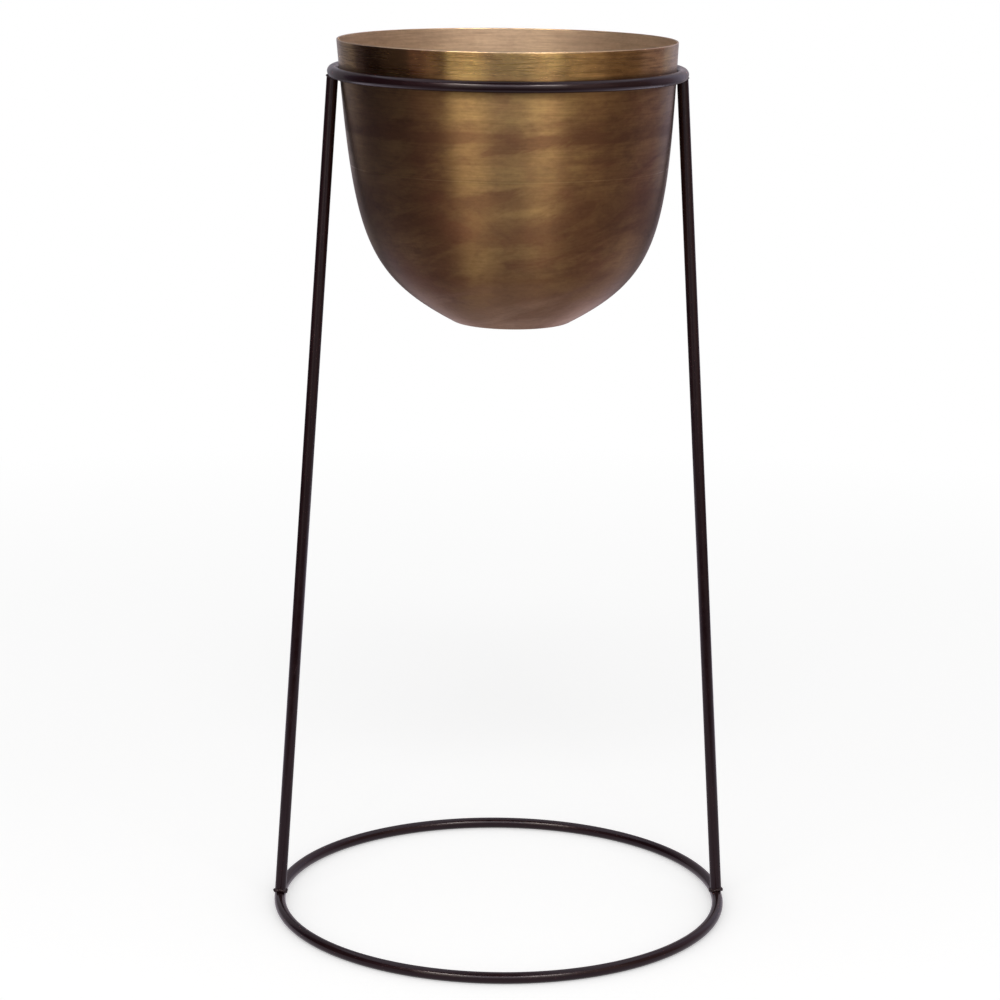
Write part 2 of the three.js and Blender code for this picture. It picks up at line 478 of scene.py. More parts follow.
for radius, height in (("Base Radius", "Base Height"), ("Top Radius", "Top Height")):
    cutter = ring_cutter(leg_bar, size[radius], size[height], thick)
    leg_bar.links.new(cutter, cut.inputs["Mesh 2"])
end_tree(leg_bar, cut.outputs[0], size["Finish"], sharper_than=CRISP_SADDLE)

for name, side in (("left", -1.0), ("right", 1.0)):
    values = {"Side": side, "Bar Radius": BAR - HAIR, "Finish": bar_coat}
    piece = shaped(f"{name}_leg_bar", leg_bar, values)
    set_in_place(piece, "frame", f"{name}_leg")

# %% [markdown]
# ## Welds at the legs
# A weld is laid as a row of small puddles, each a little over the last, once round the bar. Here
# the puddles are flattened balls set along a circle round the leg, each with its own size and lift
# from a fixed seed. Turning the balls to a volume and back fuses them into one lump with soft
# ripples.

# %% Weld bead
PUDDLE_WANDER = 0.35
PUDDLE_SIZES = (0.82, 1.08)
PUDDLE_FLATNESS = 0.72
FUSING_BAND = 0.6 * MM
FUSED_LEVEL = 0.1
SOFTENING = 3
weld_bead, size = shape_tree(
    "weld bead",
    {
        "Round": BAR,
        "Puddle": 1.7 * MM,
        "Puddles": 15,
        "Drop": 1.0 * MM,
        "Grain": 0.14 * MM,
        "Seed": 1,
    },
)


def scatter(tree, low, high, seed):
    """A random number for each puddle."""
    values = {2: low, 3: high, "Seed": seed}
    return add(tree, "FunctionNodeRandomValue", values, data_type="FLOAT").outputs[1]


circle = circle_of(weld_bead, size["Puddles"], size["Round"])
dots = add(weld_bead, "GeometryNodeCurveToPoints", {"Curve": circle}, mode="EVALUATED")
across = parts_of(weld_bead, add(weld_bead, "GeometryNodeInputPosition").outputs[0])["X"]
fall = calc(weld_bead, "POWER", calc(weld_bead, "DIVIDE", across, size["Round"]), 2.0)
fall = calc(weld_bead, "MULTIPLY", fall, size["Drop"])
wander = scatter(weld_bead, -PUDDLE_WANDER, PUDDLE_WANDER, size["Seed"])
wander = calc(weld_bead, "MULTIPLY", wander, size["Puddle"])
shift = xyz(weld_bead, z=calc(weld_bead, "SUBTRACT", wander, fall))
moved = {"Geometry": dots.outputs[0], "Offset": shift}
laid = add(weld_bead, "GeometryNodeSetPosition", moved).outputs[0]
round_ball = {"Radius": size["Puddle"], "Subdivisions": 4}
ball = add(weld_bead, "GeometryNodeMeshIcoSphere", round_ball).outputs[0]
fat = scatter(weld_bead, *PUDDLE_SIZES, calc(weld_bead, "ADD", size["Seed"], 7.0))
flat = vector(weld_bead, "SCALE", xyz(weld_bead, 1.0, PUDDLE_FLATNESS, 1.0), scale=fat)
puddles = add(
    weld_bead,
    "GeometryNodeInstanceOnPoints",
    {"Points": laid, "Instance": ball, "Rotation": dots.outputs["Rotation"], "Scale": flat},
).outputs[0]
fused = add(weld_bead, "GeometryNodeRealizeInstances", {"Geometry": puddles}).outputs[0]
volume = add(
    weld_bead,
    "GeometryNodeMeshToVolume",
    {"Mesh": fused, "Voxel Size": size["Grain"], "Interior Band Width": FUSING_BAND},
    resolution_mode="VOXEL_SIZE",
).outputs[0]
lump = add(
    weld_bead,
    "GeometryNodeVolumeToMesh",
    {"Volume": volume, "Voxel Size": size["Grain"], "Threshold": FUSED_LEVEL},
    resolution_mode="VOXEL_SIZE",
).outputs[0]
soft = add(
    weld_bead,
    "GeometryNodeBlurAttribute",
    {0: add(weld_bead, "GeometryNodeInputPosition").outputs[0], "Iterations": SOFTENING},
    data_type="FLOAT_VECTOR",
)
moved = {"Geometry": lump, "Position": soft.outputs[0]}
lump = add(weld_bead, "GeometryNodeSetPosition", moved).outputs[0]
end_tree(weld_bead, lump, size["Finish"])
print("weld bead tree ready")

# %% [markdown]
# Each bead is made standing on the Z axis and is then leaned over and carried to its joint. The
# beads at the feet are fat and sit partly on the ring. Those at the heads are small, because the
# bowl hangs only a millimetre or two from the legs there.

# %% Place the beads
LEG_LENGTH = math.hypot(BASE_RING - TOP_RING, TOP_RING_HEIGHT - BAR)
FOOT_BEAD = {"Puddle": 1.75 * MM, "Round": 3.75 * MM, "Puddles": 13, "Drop": 1.4 * MM}
TOP_BEAD = {"Puddle": 1.15 * MM, "Round": 3.6 * MM, "Puddles": 17, "Drop": -1.0 * MM}
FOOT_BEAD_HEIGHT = BAR + 0.9 * MM
TOP_BEAD_HEIGHT = LEG_LENGTH - BAR - 0.5 * MM
TOP_SEED_STEP = 20


def joint(side, distance):
    """The place and lean of a point on a leg's axis, this far up from the base ring's middle."""
    turn = Matrix.Identity(4) if side > 0 else Matrix.Rotation(math.pi, 4, "Z")
    foot = Matrix.Translation((BASE_RING, 0, BAR)) @ Matrix.Rotation(-LEG_LEAN, 4, "Y")
    return turn @ foot @ Matrix.Translation((0, 0, distance))


for name, side, seed in (("left", -1, 3), ("right", 1, 8)):
    low = {**FOOT_BEAD, "Seed": seed, "Finish": weld_coat}
    high = {**TOP_BEAD, "Seed": seed + TOP_SEED_STEP, "Finish": weld_coat}
    for end, values, distance in (("foot", low, FOOT_BEAD_HEIGHT), ("top", high, TOP_BEAD_HEIGHT)):
        piece = shaped(f"{name}_{end}_bead", weld_bead, values)
        set_in_place(piece, "frame", f"{name}_{end}_weld")
        piece.data.transform(joint(side, distance))

# %% [markdown]
# ## Finish of the bowl
# The bowl was spun on a lathe and brushed while it turned, so every fine line runs round it. Such
# lines stretch a reflected light across themselves, which is why each soft box shows as an upright
# band: the shader does that with anisotropy along the bowl's own turning direction. The polishing
# pad was pressed harder at some heights. These belts are bright and show the bands sharply, and the
# patina between them is browner and rougher, so the bands melt away there.

# %% Belts left by the polishing pad, and painted shade under the top ring
BELTS_AND_RING_SHADE = (
    (0.420, 0.00),
    (0.464, 0.00),
    (0.474, 0.13),
    (0.488, 0.11),
    (0.498, 0.00),
    (0.520, 0.00),
    (0.524, 0.12),
    (0.528, 0.22),
    (0.536, 0.30),
    (0.542, 0.33),
    (0.5445, 0.22),
    (0.548, 0.20),
    (0.551, 0.27),
    (0.557, 0.24),
    (0.5595, 0.00),
    (0.5635, 0.02),
    (0.566, 0.20),
    (0.5725, 0.26),
    (0.5745, 0.36),
    # The dip at the top ring's height is painted shade: less polish leaves more brown patina and a
    # rougher, darker wall where the ring shades it.
    (0.592, 0.32),
    (0.5955, 0.15),
    (0.600, 0.40),
    (0.605, 1.00),
    (0.620, 1.00),
)
BELTS_FROM, BELTS_TO = BELTS_AND_RING_SHADE[0][0], BELTS_AND_RING_SHADE[-1][0]


def belts(tree, height):
    """How well the metal is polished at a height, from the list above; the dip at the top ring is
    painted shade.
    """
    node = add(tree, "ShaderNodeFloatCurve", {"Value": share(tree, height, BELTS_FROM, BELTS_TO)})
    line = node.mapping.curves[0]
    for place, polish_and_ring_shade in BELTS_AND_RING_SHADE[1:-1]:
        line.points.new((place - BELTS_FROM) / (BELTS_TO - BELTS_FROM), polish_and_ring_shade)
    line.points[0].location = (0, BELTS_AND_RING_SHADE[0][1])
    line.points[len(line.points) - 1].location = (1, BELTS_AND_RING_SHADE[-1][1])
    node.mapping.update()
    return node.outputs[0]


print(f"{len(BELTS_AND_RING_SHADE)} heights from {BELTS_FROM} to {BELTS_TO} m")

# %% [markdown]
# The pad left fine lines, deep where the metal is well polished and faint under the patina. Over
# this lie broad brown clouds, slanting smears from a wiping cloth, reddish stains and a fine mottle.
# One scored line runs round a little above the bowl's middle, and the lower part is painted paler:
# a painted reflection of the pale floor below. Each pattern is noise on Object coordinates, or on
# coordinates that run round the bowl, and a ramp between two of its values.


# %% Aged brass
PATTERNS = {
    "clouds": ((16, 5, 0.6, 0.5), (0.36, 0.66)),
    "smeared places": ((10, 2), (0.42, 0.58)),
    "smears": ((15, 6, 0.6, 0.7), (0.44, 0.62)),
    "red stains": ((24, 4, 0.6), (0.54, 0.68)),
    "dark stains": ((58, 5, 0.65, 0.3), (0.48, 0.76)),
    "coarse lines": ((1.0, 2, 0.6), (0.34, 0.66)),
    "fine lines": ((1.0, 3, 0.7), (0.3, 0.7)),
}
MOTTLE = (330, 3, 0.6)
RAGGED = (19, 5, 0.65)
CLOTH_SLOPE, CLOTH_STRETCH = -0.35, 4.5
FLAT_CLOUDS = (1.0, 1.0, 1.8)
RED_SHIFT = (0.31, 0.17, 0.05)
BELT_WANDER = 0.004
COARSE_LINES, FINE_LINES = (4.0, 640), (3.0, 1300)
SCORED_LINE = 0.5333
SCORE_WIDTH = (0.0005, 0.0002)
# Between these heights the lower part turns paler: a painted reflection of the pale floor below.
FLOOR_GLOW_FROM, FLOOR_GLOW_TO = 0.466, 0.424
RED_STAIN, RED_SHARE = (0.170, 0.066, 0.042), 0.30
DARK_SHARE = 0.50
# Colour of the painted floor reflection, and how much of it shows on and off the smears.
PAINTED_FLOOR_GLOW, SMEARED_FLOOR_GLOW, PLAIN_FLOOR_GLOW = (0.400, 0.268, 0.184), 0.50, 0.45
SCORED_METAL, SCORE_SHARE = (0.62, 0.44, 0.22), 0.14
POLISHED_GROOVES, PATINA_GROOVES = 0.60, 0.08
COARSE_SHARE, FINE_SHARE = 0.7, 0.3
LEAST_COVER, CLOUD_COVER, SMEAR_COVER, POLISH_COVER = 0.72, 0.34, 0.34, -1.05
MOTTLE_FROM, MOTTLE_SHARE = 0.82, 0.36
SMOOTHER, ROUGHER = -0.20, 0.05
LINE_HEIGHT = 0.007 * MM


def pattern(tree, name, place):
    how, ramp = PATTERNS[name]
    return share(tree, noise(tree, place, *how), *ramp)


def turned_place(tree, round_scale, along_scale):
    """Coordinates for lines that run round the bowl: slow round it, quick along its wall."""
    place = add(tree, "ShaderNodeTexCoord").outputs["Object"]
    spot = parts_of(tree, place)
    flat = xyz(tree, spot["X"], spot["Y"], 0.0)
    direction = vector(tree, "SCALE", vector(tree, "NORMALIZE", flat), scale=round_scale)
    along = add(tree, "ShaderNodeAttribute", attribute_name="along").outputs["Fac"]
    return vector(tree, "ADD", direction, xyz(tree, z=calc(tree, "MULTIPLY", along, along_scale)))


# place across and up, half width and height, slope, and how much patina the cloth left
WIPING_MARKS = (
    ((0.006, 0.5570), (0.034, 0.0060), 0.10, 0.40),
    ((-0.014, 0.5235), (0.034, 0.0055), 0.22, 0.42),
    ((0.012, 0.5135), (0.030, 0.0050), 0.08, -0.28),
)
MARK_RAGGEDNESS = 3.4
MARK_EDGE = (2.7, 2.0)


def wiping_marks(tree, spot, ragged):
    """More or less patina where the cloth last passed over the front of the bowl."""
    front = share(tree, spot["Y"], 0.0, -0.05)
    total = 0.0
    for (across, up), (wide, tall), slope, amount in WIPING_MARKS:
        aside = calc(tree, "SUBTRACT", spot["X"], across)
        above = calc(tree, "MULTIPLY_ADD", aside, -slope, calc(tree, "SUBTRACT", spot["Z"], up))
        place = xyz(tree, calc(tree, "DIVIDE", aside, wide), 0.0, calc(tree, "DIVIDE", above, tall))
        reach = calc(tree, "MULTIPLY_ADD", ragged, MARK_RAGGEDNESS, vector(tree, "LENGTH", place))
        mark = calc(tree, "MULTIPLY", share(tree, reach, *MARK_EDGE), front)
        total = calc(tree, "MULTIPLY_ADD", mark, amount, total)
    return total


def brass(name, metal, patina, deep, roughness, clouds=1.0, metallic=1.0, stretch=0.9):
    """Brushed brass: polished metal, patina, and its darkest stains."""
    material, tree, surface = finish(name, metal, roughness, metallic)
    place = add(tree, "ShaderNodeTexCoord").outputs["Object"]
    spot = parts_of(tree, place)
    squat = vector(tree, "MULTIPLY", place, FLAT_CLOUDS)
    wiped = calc(tree, "MULTIPLY_ADD", spot["X"], CLOTH_SLOPE, spot["Z"])
    slant = xyz(tree, spot["X"], spot["Y"], calc(tree, "MULTIPLY", wiped, CLOTH_STRETCH))
    edge = noise(tree, turned_place(tree, 2.2, 40), 1.0, 3)
    edge = calc(tree, "MULTIPLY_ADD", edge, BELT_WANDER, -BELT_WANDER / 2)
    polish_and_ring_shade = belts(tree, calc(tree, "ADD", spot["Z"], edge))

    broad = pattern(tree, "clouds", squat)
    where = pattern(tree, "smeared places", place)
    smears = pattern(tree, "smears", slant)
    red = pattern(tree, "red stains", vector(tree, "ADD", place, RED_SHIFT))
    small = pattern(tree, "dark stains", squat)
    mottle = noise(tree, squat, *MOTTLE)
    bands = pattern(tree, "coarse lines", turned_place(tree, *COARSE_LINES))
    lines = pattern(tree, "fine lines", turned_place(tree, *FINE_LINES))
    off_score = calc(tree, "ABSOLUTE", calc(tree, "SUBTRACT", spot["Z"], SCORED_LINE))
    score = share(tree, off_score, *SCORE_WIDTH)
    # painted reflection of the pale floor: paler towards the bottom
    floor_glow = share(tree, spot["Z"], FLOOR_GLOW_FROM, FLOOR_GLOW_TO)
    wiped_off = wiping_marks(tree, spot, noise(tree, slant, *RAGGED))

    fine = calc(tree, "MULTIPLY", lines, FINE_SHARE)
    fine = calc(tree, "MULTIPLY_ADD", bands, COARSE_SHARE, fine)
    shine = calc(tree, "MULTIPLY", polish_and_ring_shade, calc(tree, "MULTIPLY_ADD", fine, 0.8, 0.6))
    shine = calc(tree, "MINIMUM", calc(tree, "ADD", shine, score), 1.0)
    cover = calc(tree, "MULTIPLY_ADD", broad, CLOUD_COVER, LEAST_COVER)
    smeared = calc(tree, "MULTIPLY", smears, where)
    cover = calc(tree, "MULTIPLY_ADD", smeared, SMEAR_COVER, cover)
    cover = calc(tree, "ADD", cover, wiped_off)
    cover = calc(tree, "MULTIPLY_ADD", polish_and_ring_shade, POLISH_COVER, cover)
    cover = calc(tree, "MAXIMUM", calc(tree, "MULTIPLY", cover, clouds), 0.0)

    colour = mixed(tree, cover, metal, patina)
    # how strongly the painted floor reflection shows, stronger along the smears
    smeared = calc(tree, "MULTIPLY_ADD", smears, SMEARED_FLOOR_GLOW * clouds, PLAIN_FLOOR_GLOW * clouds)
    stains = (
        (calc(tree, "MULTIPLY", red, RED_SHARE * clouds), RED_STAIN),
        (calc(tree, "MULTIPLY", small, DARK_SHARE * clouds), deep),
        (calc(tree, "MULTIPLY", floor_glow, smeared), PAINTED_FLOOR_GLOW),
        (calc(tree, "MULTIPLY", score, SCORE_SHARE * clouds), SCORED_METAL),
    )
    for amount, stain in stains:
        colour = mixed(tree, amount, colour, stain)
    depth = calc(tree, "MULTIPLY_ADD", polish_and_ring_shade, POLISHED_GROOVES * clouds, PATINA_GROOVES * clouds)
    groove = calc(tree, "MULTIPLY", calc(tree, "SUBTRACT", fine, 0.5), depth)
    groove = calc(tree, "ADD", groove, MOTTLE_FROM)
    speck = calc(tree, "MULTIPLY_ADD", mottle, MOTTLE_SHARE, groove)
    specks = add(tree, "ShaderNodeCombineColor", dict.fromkeys(range(3), speck)).outputs[0]
    tree.links.new(mixed(tree, 1.0, colour, specks, "MULTIPLY"), surface.inputs["Base Color"])

    dull = calc(tree, "MULTIPLY_ADD", calc(tree, "MULTIPLY", shine, clouds), SMOOTHER, roughness)
    tree.links.new(calc(tree, "MULTIPLY_ADD", cover, ROUGHER, dull), surface.inputs["Roughness"])
    surface.inputs["Anisotropic"].default_value = stretch
    surface.inputs["Anisotropic Rotation"].default_value = 0.25
    tangent = add(tree, "ShaderNodeTangent", direction_type="UV_MAP", uv_map="UVMap").outputs[0]
    tree.links.new(tangent, surface.inputs["Tangent"])
    bumped(tree, surface, calc(tree, "MULTIPLY_ADD", bands, 1.5, lines), LINE_HEIGHT)
    return material


outer_brass = brass(
    "aged_brass",
    metal=(0.365, 0.241, 0.097),
    patina=(0.170, 0.090, 0.044),
    deep=(0.096, 0.048, 0.030),
    roughness=0.45,
)
# The inside's paler colour is partly real, as unpolished metal, and partly painted light from above.
inner_brass_and_painted_light = brass(
    "inner_brass_and_painted_light",
    metal=(0.48, 0.340, 0.222),
    patina=(0.360, 0.246, 0.160),
    deep=(0.26, 0.17, 0.110),
    roughness=0.64,
    clouds=0.5,
    metallic=0.5,
    stretch=0.2,
)
rim_brass = brass(
    "bare_rim",
    metal=(0.62, 0.47, 0.30),
    patina=(0.40, 0.28, 0.16),
    deep=(0.26, 0.17, 0.10),
    roughness=0.30,
    clouds=0.3,
    stretch=0.0,
)
print("three finishes of brass ready")

# %% [markdown]
# ## Bowl
# A spun bowl is a line turned round an axis, so the tree needs only that line. It is one curve from
# the rim to the foot, with a pull at each end. A flat grid is wrapped onto it: across the grid is
# once round the axis, and up the grid runs from under the foot, up the outside, over the rim and
# down the inside to the middle of the floor. The sheet's thickness is a step square to the curve.

# %% Spun bowl
OUTLINE_STEPS = 400
spun_bowl, size = shape_tree(
    "spun bowl",
    {
        "Rim Radius": RIM_RADIUS,
        "Depth": BOWL_DEPTH,
        "Foot Radius": FOOT_RADIUS,
        "Sheet": SHEET,
        "Wall Taper": WALL_TAPER,
        "Rim Pull": 133 * MM,
        "Foot Slope": FOOT_SLOPE,
        "Foot Pull": 71 * MM,
        "Rim Height": RIM_HEIGHT,
        "Foot Offset": FOOT_OFFSET,
        "Seat Depth": SEAT_DEPTH,
        "Turns": 224,
        "Lip Rows": 8,
        "Wall Rows": 70,
        "Foot Rows": 9,
    },
)
for socket in ("Inside Finish", "Rim Finish"):
    spun_bowl.interface.new_socket(socket, in_out="INPUT", socket_type="NodeSocketMaterial")


def polar(tree, distance, angle):
    """The two legs of a triangle: distance times cosine and distance times sine."""
    parts = [calc(tree, part, angle) for part in ("COSINE", "SINE")]
    return [calc(tree, "MULTIPLY", distance, part) for part in parts]


rim_in, rim_down = reversed(polar(spun_bowl, size["Rim Pull"], size["Wall Taper"]))
foot_out, foot_up = polar(spun_bowl, size["Foot Pull"], size["Foot Slope"])
bottom = calc(spun_bowl, "MULTIPLY", size["Depth"], -1.0)
outline = add(
    spun_bowl,
    "GeometryNodeCurvePrimitiveBezierSegment",
    {
        "Resolution": OUTLINE_STEPS,
        "Start": xyz(spun_bowl, size["Rim Radius"]),
        "Start Handle": xyz(
            spun_bowl,
            calc(spun_bowl, "SUBTRACT", size["Rim Radius"], rim_in),
            z=calc(spun_bowl, "MULTIPLY", rim_down, -1.0),
        ),
        "End Handle": xyz(
            spun_bowl,
            calc(spun_bowl, "ADD", size["Foot Radius"], foot_out),
            z=calc(spun_bowl, "SUBTRACT", foot_up, size["Depth"]),
        ),
        "End": xyz(spun_bowl, size["Foot Radius"], z=bottom),
    },
    mode="POSITION",
).outputs[0]
print(f"outline of {OUTLINE_STEPS} steps from the rim to the foot")

# %% [markdown]
# Rows are counted from the top of the rim, outwards in both directions. The first few go round the
# lip, the next ones down the wall, and the last ones across the foot to the middle. The sign says
# on which side of the sheet a row lies.

# %% Wrap the grid onto the outline
half_rows = calc(spun_bowl, "ADD", size["Lip Rows"], size["Wall Rows"])
half_rows = calc(spun_bowl, "ADD", half_rows, size["Foot Rows"])
grid = add(
    spun_bowl,
    "GeometryNodeMeshGrid",
    {
        "Size X": 1.0,
        "Size Y": 2.0,
        "Vertices X": calc(spun_bowl, "ADD", size["Turns"], 1.0),
        "Vertices Y": calc(spun_bowl, "MULTIPLY_ADD", half_rows, 2.0, 1.0),
    },
)
spot = parts_of(spun_bowl, add(spun_bowl, "GeometryNodeInputPosition").outputs[0])
inside = calc(spun_bowl, "SIGN", spot["Y"])
row = calc(spun_bowl, "MULTIPLY", calc(spun_bowl, "ABSOLUTE", spot["Y"]), half_rows)
past_lip = calc(spun_bowl, "SUBTRACT", row, size["Lip Rows"])
past_wall = calc(spun_bowl, "SUBTRACT", past_lip, size["Wall Rows"])
lip_share = share(spun_bowl, row, 0.0, size["Lip Rows"])
wall_share = share(spun_bowl, past_lip, 0.0, size["Wall Rows"])
foot_share = share(spun_bowl, past_wall, 0.0, size["Foot Rows"])

sample = add(
    spun_bowl,
    "GeometryNodeSampleCurve",
    {"Curves": outline, "Factor": wall_share},
    mode="FACTOR",
).outputs
tangent = parts_of(spun_bowl, sample["Tangent"])
outward = xyz(spun_bowl, calc(spun_bowl, "MULTIPLY", tangent["Z"], -1.0), z=tangent["X"])
quarter = calc(spun_bowl, "MULTIPLY", calc(spun_bowl, "MULTIPLY", lip_share, inside), math.pi / 2)
lip_angle = calc(spun_bowl, "ADD", quarter, math.pi / 2)
half_sheet = calc(spun_bowl, "MULTIPLY", size["Sheet"], 0.5)
over, up = polar(spun_bowl, half_sheet, lip_angle)
over = calc(spun_bowl, "SUBTRACT", over, half_sheet)
edge = vector(spun_bowl, "SCALE", outward, scale=over)
edge = vector(spun_bowl, "SUBTRACT", edge, vector(spun_bowl, "SCALE", sample["Tangent"], scale=up))
point = parts_of(spun_bowl, vector(spun_bowl, "ADD", sample["Position"], edge))
print(f"every point of the grid finds its place on the two sides of a {SHEET / MM:.0f} mm sheet")

# %% [markdown]
# The last step turns each point about the axis. The inside never goes below the floor of the sheet.
# Hand spinning left the foot a few millimetres to the right, so each level slides over a little,
# from the seat down. Each point also keeps its distance along the wall, because the brushed lines
# follow the wall.

# %% Turn it round the axis
SEAM = 0.01 * MM
is_inside = calc(spun_bowl, "GREATER_THAN", inside, 0.0)
floor_height = calc(spun_bowl, "MULTIPLY_ADD", is_inside, size["Sheet"], bottom)
level = calc(spun_bowl, "MAXIMUM", point["Z"], floor_height)
radius = calc(spun_bowl, "MULTIPLY", point["X"], calc(spun_bowl, "SUBTRACT", 1.0, foot_share))
angle = calc(spun_bowl, "MULTIPLY_ADD", spot["X"], 2 * math.pi, -math.pi / 2)
turned = polar(spun_bowl, radius, angle)
under_seat = calc(spun_bowl, "ADD", level, size["Seat Depth"])
seat_to_foot = calc(spun_bowl, "SUBTRACT", size["Seat Depth"], size["Depth"])
lean = calc(spun_bowl, "DIVIDE", size["Foot Offset"], seat_to_foot)
drift = calc(spun_bowl, "MULTIPLY", under_seat, lean)
height = calc(spun_bowl, "ADD", level, size["Rim Height"])
place = xyz(spun_bowl, calc(spun_bowl, "ADD", turned[0], drift), turned[1], height)

wall_length = add(spun_bowl, "GeometryNodeCurveLength", {"Curve": outline}).outputs[0]
along = calc(spun_bowl, "MULTIPLY", wall_share, wall_length)
along = calc(spun_bowl, "ADD", along, calc(spun_bowl, "MULTIPLY", foot_share, size["Foot Radius"]))
mesh = grid.outputs["Mesh"]
for name, value, kind, domain in (
    ("UVMap", grid.outputs["UV Map"], "FLOAT2", "CORNER"),
    ("along", along, "FLOAT", "POINT"),
    ("side_of_sheet", calc(spun_bowl, "MULTIPLY", spot["Y"], half_rows), "FLOAT", "POINT"),
):
    stored = {"Geometry": mesh, "Name": name, "Value": value}
    settings = {"data_type": kind, "domain": domain}
    mesh = add(spun_bowl, "GeometryNodeStoreNamedAttribute", stored, **settings).outputs[0]
mesh = add(spun_bowl, "GeometryNodeSetPosition", {"Geometry": mesh, "Position": place}).outputs[0]
joined = {"Geometry": mesh, "Distance": SEAM}
mesh = add(spun_bowl, "GeometryNodeMergeByDistance", joined).outputs[0]
print("grid turned round the axis")

# %% [markdown]
# The inside was never polished and is duller than the outside. Its paler colour is partly painted
# light, for the light that falls into the bowl from above. The cut edge at the rim is nearly bare
# metal. Both get their own finish, picked by the row that a face lies in. A small bevel then takes
# the sharpness off the edge of the foot.

# %% Finish the bowl
FOOT_BEVEL = 1.2 * MM
BEVELLED_FROM = math.radians(16)
mesh = add(spun_bowl, "GeometryNodeSetShadeSmooth", {"Geometry": mesh}, domain="FACE").outputs[0]
mesh = add(spun_bowl, "GeometryNodeRealizeInstances", {"Geometry": mesh}).outputs[0]
finished = {"Geometry": mesh, "Material": size["Finish"]}
mesh = add(spun_bowl, "GeometryNodeSetMaterial", finished).outputs[0]
face_row = add(
    spun_bowl,
    "GeometryNodeInputNamedAttribute",
    {"Name": "side_of_sheet"},
    data_type="FLOAT",
).outputs[0]
on_inside = calc(spun_bowl, "GREATER_THAN", face_row, 0.0)
on_lip = calc(spun_bowl, "LESS_THAN", calc(spun_bowl, "ABSOLUTE", face_row), size["Lip Rows"])
for chosen, socket in ((on_inside, "Inside Finish"), (on_lip, "Rim Finish")):
    values = {"Geometry": mesh, "Selection": chosen, "Material": size[socket]}
    mesh = add(spun_bowl, "GeometryNodeSetMaterial", values).outputs[0]
add(spun_bowl, "NodeGroupOutput", {"Mesh": mesh})

bowl = shaped(
    "spun_bowl",
    spun_bowl,
    {"Finish": outer_brass, "Inside Finish": inner_brass_and_painted_light, "Rim Finish": rim_brass},
)
bevel = bowl.modifiers.new("foot edge", "BEVEL")
bevel.width = FOOT_BEVEL
bevel.segments = 3
bevel.angle_limit = BEVELLED_FROM
set_in_place(bowl, "bowl", "planter_bowl")

# %% [markdown]
# ## Studio
# The stand is on a pale floor in a white studio. The floor is a pale matt sheet that keeps the
# stand's shadow, and it fades into the white of the background further out. White is what the
# camera and the reflections see there, through Light Path. It adds no light to the stand.


# %% Floor and background
def seen(tree):
    """1 for what is seen directly, in a reflection or through glass, and 0 for other rays."""
    rays = add(tree, "ShaderNodeLightPath").outputs
    direct = calc(tree, "MAXIMUM", rays["Is Camera Ray"], rays["Is Glossy Ray"])
    return calc(tree, "MAXIMUM", direct, rays["Is Transmission Ray"])


HALF_FLOOR = 20.0
FLOOR_COLOUR, FLOOR_ROUGHNESS = (0.86, 0.86, 0.86), 0.9
FADE_FROM, FADE_TO = 0.5, 1.6
FLOOR_LIFT = 0.40
AMBIENT = 0.55
WHITE = (1, 1, 1, 1)
corners = [(x * HALF_FLOOR, y * HALF_FLOOR, 0) for x, y in ((-1, -1), (1, -1), (1, 1), (-1, 1))]
floor_mesh = bpy.data.meshes.new("floor")
floor_mesh.from_pydata(corners, [], [(0, 1, 2, 3)])
floor = placed("floor", floor_mesh)
floor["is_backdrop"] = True

pale, tree, surface = finish("pale_floor", FLOOR_COLOUR, FLOOR_ROUGHNESS)
surface.inputs["Specular IOR Level"].default_value = 0.0
place = add(tree, "ShaderNodeTexCoord").outputs["Object"]
far = share(tree, vector(tree, "LENGTH", place), FADE_FROM, FADE_TO)
glow = add(tree, "ShaderNodeEmission", {"Color": WHITE, "Strength": 1.0}).outputs[0]
lifted = calc(tree, "MULTIPLY", seen(tree), FLOOR_LIFT)
lift = add(tree, "ShaderNodeEmission", {"Color": WHITE, "Strength": lifted}).outputs[0]
near = add(tree, "ShaderNodeAddShader", {0: surface.outputs[0], 1: lift}).outputs[0]
amount = calc(tree, "MULTIPLY", far, seen(tree))
blend = add(tree, "ShaderNodeMixShader", {"Fac": amount, 1: near, 2: glow}).outputs[0]
tree.links.new(blend, tree.nodes["Material Output"].inputs["Surface"])
floor_mesh.materials.append(pale)

world = bpy.data.worlds.new("studio")
world.use_nodes = True
bpy.context.scene.world = world
tree = world.node_tree
strength = calc(tree, "MULTIPLY_ADD", seen(tree), 1.0 - AMBIENT, AMBIENT)
tree.links.new(strength, tree.nodes["Background"].inputs["Strength"])
tree.nodes["Background"].inputs["Color"].default_value = WHITE
print("floor and background ready")

# %% [markdown]
# ## Lamps
# Two tall soft boxes stand to the left and right of the camera, and a small one hangs over it. They
# light the floor, the coat and the inside of the bowl, and give the soft shadow. Their directions
# are counted from the camera's own, to the right.


# %% Lamps
FRONT = math.atan2(camera.matrix_world.translation.x, -camera.matrix_world.translation.y)
LAMP_AIM = Vector((0, 0, 0.4))


def round_the_stand(azimuth, distance, height):
    """A place this many degrees to the right of the camera, seen from above the stand."""
    angle = FRONT + math.radians(azimuth)
    return Vector((math.sin(angle) * distance, -math.cos(angle) * distance, height))


def soft_box(name, azimuth, distance, height, width, tall, watts):
    data = bpy.data.lights.new(name, "AREA")
    data.shape = "RECTANGLE"
    data.size = width
    data.size_y = tall
    data.energy = watts
    lamp = placed(name, data)
    lamp.location = round_the_stand(azimuth, distance, height)
    lamp.rotation_euler = (LAMP_AIM - lamp.location).to_track_quat("-Z", "Y").to_euler()
    lamp.visible_camera = False
    lamp.visible_glossy = False
    print(f"{name}: {watts} W at {azimuth} degrees")


